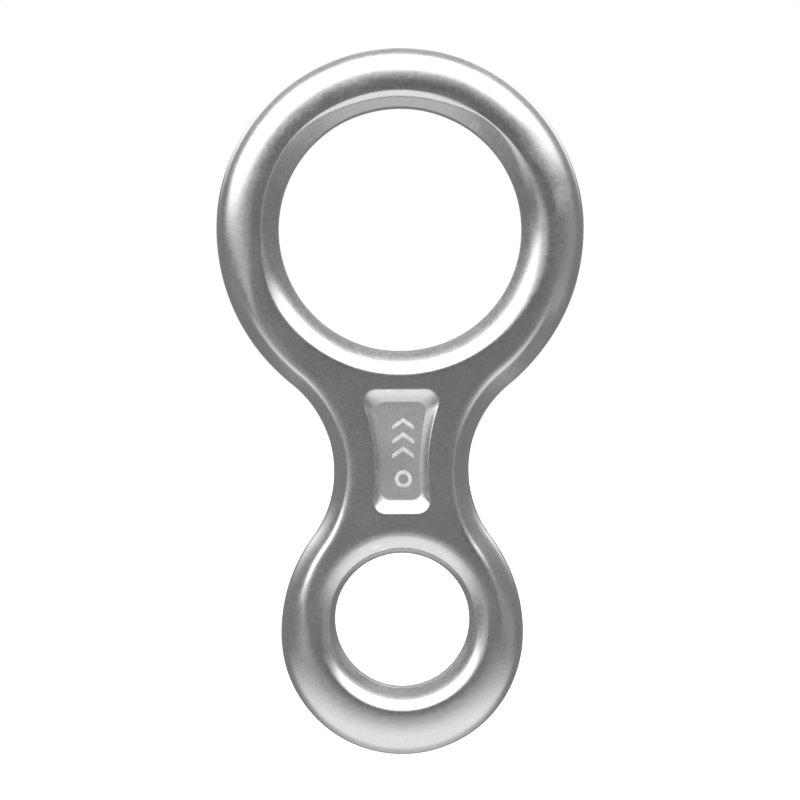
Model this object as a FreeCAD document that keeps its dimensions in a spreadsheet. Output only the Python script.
import FreeCAD, Part
import math
import os

import Sketcher

# A figure-of-eight descender: one hot forging in aluminium alloy. A large rope ring stands
# above a small harness ring, and a waisted neck joins them, with a recessed panel forged
# into both of its faces. Millimetres. +Z runs along the length, from the harness ring to
# the rope ring, and Y is the thickness. The origin is the centre of the harness eye at mid
# thickness, and the front face looks towards -Y.

NODE = "forged_body"

# Each row is the cell's alias, its value and what it measures.
DRIVING_SIZES = [
    ("thickness", 12.0, "face to face"),
    ("outer_edge_round", 5.6, "rounding of the outer edges, either side of the flash line"),
    ("eye_spacing", 80.1, "harness eye centre to rope eye centre"),
    ("rope_eye_radius", 25.0, "bore that takes the bight of rope"),
    ("rope_ring_radius", 37.7, "outside of the rope ring"),
    ("rope_shoulder_radius", 41.0, "blend from the rope ring's outside into the neck"),
    ("rope_lip_width", 2.8, "turned cone at each end of the rope eye"),
    ("rope_lip_round", 3.0, "blend from that cone into the bore"),
    ("harness_eye_radius", 13.8, "bore that takes the carabiner"),
    ("harness_lip_round", 4.0, "rounding at each end of the harness eye"),
    ("harness_ring_radius", 24.8, "outside of the harness ring"),
    ("harness_ring_drop", 2.9, "centre of that outside, below the eye's centre"),
    ("harness_shoulder_radius", 33.0, "blend from the harness ring's outside into the neck"),
    ("neck_arc_radius", 22.6, "hollow of each side of the neck"),
    ("neck_arc_offset", 36.4, "centre of that hollow, from the centre line"),
    ("waist_height", 30.6, "narrowest place of the neck, above the origin"),
    ("panel_depth", 1.6, "floor below the face"),
    ("panel_side_radius", 40.0, "hollow of the panel's long sides"),
    ("rim_top", 47.4, "panel's upper edge at the face"),
    ("rim_bottom", 21.4, "panel's lower edge at the face"),
    ("rim_half_waist", 5.5, "panel's half width at the face, at the waist"),
    ("floor_top", 44.5, "panel's upper edge at its floor"),
    ("floor_bottom", 24.6, "panel's lower edge at its floor"),
    ("floor_half_waist", 3.9, "panel's half width at its floor, at the waist"),
    ("panel_corner_round", 2.2, "rounding of the panel's four corners"),
    ("rim_round", 1.0, "rounding where the panel meets the face"),
]

# Vertex numbers of an arc, and the sketch's own upright axis and origin, as constraints
# name them.
START, END, CENTRE = 1, 2, 3
Z_AXIS = -2
ORIGIN = (-1, START)

NEAR = 1e-4
LEAST_CHANGE = 0.1  # cubic millimetres

doc = FreeCAD.newDocument("figure_of_eight_descender")
sheet = doc.addObject("Spreadsheet::Sheet", "Sizes")
size = {}
for row, (alias, value, meaning) in enumerate(DRIVING_SIZES, start=1):
    sheet.set(f"A{row}", meaning)
    sheet.set(f"B{row}", str(value))
    sheet.setAlias(f"B{row}", alias)
    size[alias] = value
doc.recompute()

body = doc.addObject("PartDesign::Body", "ForgedBody")
body.Label = NODE
midplane = next(item for item in body.Origin.OriginFeatures if item.Role == "XZ_Plane")


# ---------------------------------------------------------------- sketches

def new_sketch(name, towards_front="0"):
    """A sketch whose x is X and whose y is Z, moved from the midplane towards the front."""
    sketch = body.newObject("Sketcher::SketchObject", name)
    sketch.AttachmentSupport = [(midplane, "")]
    sketch.MapMode = "FlatFace"
    sketch.setExpression("AttachmentOffset.Base.z", towards_front)
    return sketch


def point(x, z):
    return FreeCAD.Vector(x, z, 0)


def line(start, end):
    return Part.LineSegment(start, end)


def circle(centre, radius):
    return Part.Circle(centre, FreeCAD.Vector(0, 0, 1), radius)


def arc(centre, radius, start_angle, end_angle):
    """The counterclockwise arc between two angles in radians."""
    return Part.ArcOfCircle(circle(centre, radius), start_angle, end_angle)


def relate(sketch, kind, *args):
    sketch.addConstraint(Sketcher.Constraint(kind, *args))


def drive(sketch, kind, *args, by):
    """Add a dimension that an expression on the sheet drives."""
    index = sketch.addConstraint(Sketcher.Constraint(kind, *args))
    sketch.setExpression(f"Constraints[{index}]", by)


def centre_on_axis(sketch, curve, height, by):
    """Hold a curve's centre on the centre line at a height above the origin."""
    relate(sketch, "PointOnObject", curve, CENTRE, Z_AXIS)
    drive(sketch, "DistanceY", *ORIGIN, curve, CENTRE, height, by=by)


def centre_beside_axis(sketch, right, left, offset, height, by):
    """Hold a pair of curves' centres level with the waist and even about the centre line."""
    drive(sketch, "DistanceX", *ORIGIN, right, CENTRE, offset, by=by)
    drive(sketch, "DistanceY", *ORIGIN, right, CENTRE, height, by="Sizes.waist_height")
    relate(sketch, "Symmetric", right, CENTRE, left, CENTRE, Z_AXIS)


def check_sketch(sketch):
    doc.recompute()
    if sketch.solve() != 0 or not sketch.FullyConstrained:
        raise RuntimeError(f"{sketch.Name} isn't fully constrained")


def outline_sketch():
    """The forging seen from the front: rings, shoulders and the neck's two hollows, all arcs."""
    ring_top = point(0, size["eye_spacing"])
    ring_foot = point(0, -size["harness_ring_drop"])
    hollow = point(size["neck_arc_offset"], size["waist_height"])
    hollow_radius = size["neck_arc_radius"]

    def shoulder(ring_centre, ring, turn):
        """Centre, radius and end angles of the right-hand arc that blends a ring into the neck."""
        radius = size[f"{ring}_shoulder_radius"]
        inner = radius - size[f"{ring}_ring_radius"]
        outer = radius + hollow_radius
        span = hollow - ring_centre
        corner = math.acos((inner**2 + span.Length**2 - outer**2) / (2 * inner * span.Length))
        at_ring = math.atan2(span.y, span.x) + turn * (math.pi - corner)
        centre = ring_centre - point(inner * math.cos(at_ring), inner * math.sin(at_ring))
        towards_hollow = hollow - centre
        return centre, radius, at_ring, math.atan2(towards_hollow.y, towards_hollow.x)

    def mirrored(centre):
        return point(-centre.x, centre.y)

    pi = math.pi
    upper, upper_radius, rope_end, upper_neck = shoulder(ring_top, "rope", 1)
    lower, lower_radius, harness_end, lower_neck = shoulder(ring_foot, "harness", -1)
    sketch = new_sketch("Outline")
    curves = [
        arc(ring_top, size["rope_ring_radius"], rope_end, pi - rope_end),
        arc(mirrored(upper), upper_radius, pi - rope_end, pi - upper_neck),
        arc(mirrored(hollow), hollow_radius, -lower_neck, -upper_neck),
        arc(mirrored(lower), lower_radius, pi - lower_neck, pi - harness_end),
        arc(ring_foot, size["harness_ring_radius"], pi - harness_end, 2 * pi + harness_end),
        arc(lower, lower_radius, harness_end, lower_neck),
        arc(hollow, hollow_radius, pi + upper_neck, pi + lower_neck),
        arc(upper, upper_radius, upper_neck, rope_end),
    ]
    sketch.addGeometry(curves, False)
    (rope_ring, upper_left, left, lower_left,
     harness_ring, lower_right, right, upper_right) = range(len(curves))
    relate(sketch, "Tangent", rope_ring, END, upper_left, START)
    relate(sketch, "Tangent", upper_left, END, left, END)
    relate(sketch, "Tangent", left, START, lower_left, START)
    relate(sketch, "Tangent", lower_left, END, harness_ring, START)
    relate(sketch, "Tangent", harness_ring, END, lower_right, START)
    relate(sketch, "Tangent", lower_right, END, right, END)
    relate(sketch, "Tangent", right, START, upper_right, START)
    relate(sketch, "Tangent", upper_right, END, rope_ring, START)
    centre_on_axis(sketch, rope_ring, size["eye_spacing"], by="Sizes.eye_spacing")
    centre_on_axis(sketch, harness_ring, -size["harness_ring_drop"], by="-Sizes.harness_ring_drop")
    centre_beside_axis(sketch, right, left, hollow.x, hollow.y, by="Sizes.neck_arc_offset")
    pairs = [(right, left), (upper_right, upper_left), (lower_right, lower_left)]
    for one, other in pairs:
        relate(sketch, "Equal", one, other)
    drive(sketch, "Radius", rope_ring, size["rope_ring_radius"], by="Sizes.rope_ring_radius")
    drive(sketch, "Radius", harness_ring, size["harness_ring_radius"], by="Sizes.harness_ring_radius")
    drive(sketch, "Radius", right, hollow_radius, by="Sizes.neck_arc_radius")
    drive(sketch, "Radius", upper_right, upper_radius, by="Sizes.rope_shoulder_radius")
    drive(sketch, "Radius", lower_right, lower_radius, by="Sizes.harness_shoulder_radius")
    check_sketch(sketch)
    return sketch


def eyes_sketch():
    """Both eyes, on one centre line."""
    sketch = new_sketch("Eyes")
    sketch.addGeometry(circle(point(0, size["eye_spacing"]), size["rope_eye_radius"]), False)
    sketch.addGeometry(circle(point(0, 0), size["harness_eye_radius"]), False)
    rope_eye, harness_eye = 0, 1
    centre_on_axis(sketch, rope_eye, size["eye_spacing"], by="Sizes.eye_spacing")
    relate(sketch, "Coincident", harness_eye, CENTRE, *ORIGIN)
    drive(sketch, "Radius", rope_eye, size["rope_eye_radius"], by="Sizes.rope_eye_radius")
    drive(sketch, "Radius", harness_eye, size["harness_eye_radius"], by="Sizes.harness_eye_radius")
    check_sketch(sketch)
    return sketch


def panel_sketch(name, edge, towards_front):
    """The panel's hourglass outline, either its rim at the face or its floor."""
    top, bottom, half_waist = f"{edge}_top", f"{edge}_bottom", f"{edge}_half_waist"
    radius = size["panel_side_radius"]
    offset = size[half_waist] + radius
    waist = size["waist_height"]
    top_lean = math.asin((size[top] - waist) / radius)
    bottom_lean = math.asin((waist - size[bottom]) / radius)
    top_right = point(offset - radius * math.cos(top_lean), size[top])
    bottom_right = point(offset - radius * math.cos(bottom_lean), size[bottom])
    top_left = point(-top_right.x, top_right.y)
    bottom_left = point(-bottom_right.x, bottom_right.y)
    sketch = new_sketch(name, towards_front)
    sketch.addGeometry([
        line(top_left, top_right),
        arc(point(offset, waist), radius, math.pi - top_lean, math.pi + bottom_lean),
        line(bottom_right, bottom_left),
        arc(point(-offset, waist), radius, -bottom_lean, top_lean),
    ], False)
    upper_edge, right, lower_edge, left = 0, 1, 2, 3
    relate(sketch, "Coincident", upper_edge, END, right, START)
    relate(sketch, "Coincident", right, END, lower_edge, START)
    relate(sketch, "Coincident", lower_edge, END, left, START)
    relate(sketch, "Coincident", left, END, upper_edge, START)
    relate(sketch, "Horizontal", upper_edge)
    relate(sketch, "Horizontal", lower_edge)
    drive(sketch, "DistanceY", *ORIGIN, upper_edge, START, size[top], by=f"Sizes.{top}")
    drive(sketch, "DistanceY", *ORIGIN, lower_edge, START, size[bottom], by=f"Sizes.{bottom}")
    centre_beside_axis(sketch, right, left, offset, waist,
                       by=f"Sizes.{half_waist} + Sizes.panel_side_radius")
    drive(sketch, "Radius", right, radius, by="Sizes.panel_side_radius")
    relate(sketch, "Equal", right, left)
    check_sketch(sketch)
    return sketch


# ---------------------------------------------------------------- finding edges

def edge_names(feature, wanted):
    """Names of the edges of a feature that a test picks out."""
    names = [f"Edge{i}" for i, edge in enumerate(feature.Shape.Edges, start=1) if wanted(edge)]
    if not names:
        raise RuntimeError(f"no edge found on {feature.Name}")
    return names


def depth_of(edge):
    """The one distance from the midplane at which an edge lies, or None if it climbs."""
    box = edge.BoundBox
    return abs(box.Center.y) if box.YLength < NEAR else None


def lies_at(edge, depth):
    return depth_of(edge) is not None and abs(depth_of(edge) - depth) < NEAR


def is_circle(edge, radius):
    curve = edge.Curve
    return isinstance(curve, Part.Circle) and abs(curve.Radius - radius) < NEAR


def add_feature(kind, name, removes=True, **settings):
    """Add a feature to the body, and stop if it leaves the volume where it was."""
    before = body.Shape.Volume if body.Shape and not body.Shape.isNull() else 0.0
    feature = body.newObject(f"PartDesign::{kind}", name)
    expressions = settings.pop("expressions", {})
    for setting, value in settings.items():
        setattr(feature, setting, value)
    for setting, expression in expressions.items():
        feature.setExpression(setting, expression)
    body.Tip = feature
    doc.recompute()
    change = body.Shape.Volume - before
    if (change < 0) != removes or abs(change) < LEAST_CHANGE:
        raise RuntimeError(f"{name} changed the volume by {change:.1f} mm3")
    print(f"{name}: {change:+.0f} mm3")
    return feature


# ---------------------------------------------------------------- features

half_thickness = size["thickness"] / 2

blank = add_feature("Pad", "Blank", removes=False, Profile=outline_sketch(),
                    SideType="Symmetric", expressions={"Length": "Sizes.thickness"})

outer_edges = edge_names(blank, lambda edge: lies_at(edge, half_thickness))
rounded = add_feature("Fillet", "OuterEdges", Base=(blank, outer_edges),
                      expressions={"Radius": "Sizes.outer_edge_round"})

eyes = add_feature("Pocket", "BothEyes", Profile=eyes_sketch(),
                   Type="ThroughAll", SideType="Symmetric")

rope_eye_edges = edge_names(eyes, lambda edge: is_circle(edge, size["rope_eye_radius"]))
rope_cone = add_feature("Chamfer", "RopeEyeCone", Base=(eyes, rope_eye_edges),
                        expressions={"Size": "Sizes.rope_lip_width"})

rope_bore_edges = edge_names(rope_cone, lambda edge: is_circle(edge, size["rope_eye_radius"]))
rope_lip = add_feature("Fillet", "RopeEyeLip", Base=(rope_cone, rope_bore_edges),
                       expressions={"Radius": "Sizes.rope_lip_round"})

harness_eye_edges = edge_names(rope_lip, lambda edge: is_circle(edge, size["harness_eye_radius"]))
harness_lip = add_feature("Fillet", "HarnessEyeLip", Base=(rope_lip, harness_eye_edges),
                          expressions={"Radius": "Sizes.harness_lip_round"})

rim = panel_sketch("PanelRim", "rim", "Sizes.thickness / 2")
floor = panel_sketch("PanelFloor", "floor", "Sizes.thickness / 2 - Sizes.panel_depth")
front_panel = add_feature("SubtractiveLoft", "FrontPanel", Profile=rim, Sections=[floor])
both_panels = add_feature("Mirrored", "BackPanel", Originals=[front_panel],
                          MirrorPlane=(midplane, [""]))


def is_panel_corner(edge):
    """A slanting corner of a panel, from its rim to its floor."""
    box = edge.BoundBox
    inner = min(abs(box.YMin), abs(box.YMax))
    outer = max(abs(box.YMin), abs(box.YMax))
    at_floor = abs(inner - (half_thickness - size["panel_depth"])) < NEAR
    return at_floor and abs(outer - half_thickness) < NEAR


corners = add_feature("Fillet", "PanelCorners", removes=False,
                      Base=(both_panels, edge_names(both_panels, is_panel_corner)),
                      expressions={"Radius": "Sizes.panel_corner_round"})


def is_panel_rim(edge):
    box = edge.BoundBox
    level = size["rim_bottom"] - NEAR < box.ZMin and box.ZMax < size["rim_top"] + NEAR
    return level and lies_at(edge, half_thickness)


rims = add_feature("Fillet", "PanelRims", Base=(corners, edge_names(corners, is_panel_rim)),
                   expressions={"Radius": "Sizes.rim_round"})

# ---------------------------------------------------------------- checks and export

for item in doc.Objects:
    if "Invalid" in item.State or "Error" in item.State:
        raise RuntimeError(f"{item.Name} failed: {item.State}")
if body.Shape.isNull() or not body.Shape.isValid() or len(body.Shape.Solids) != 1:
    raise RuntimeError(f"{NODE} isn't one valid solid")

ALUMINIUM_DENSITY = 2.7e-3  # grams in a cubic millimetre
box = body.Shape.optimalBoundingBox()
print(f"{NODE}: {box.XLength:.2f} x {box.YLength:.2f} x {box.ZLength:.2f} mm")
print(f"{NODE}: {body.Shape.Volume * ALUMINIUM_DENSITY:.1f} g")

os.makedirs("parts", exist_ok=True)
body.Shape.exportStep(f"parts/{NODE}.step")
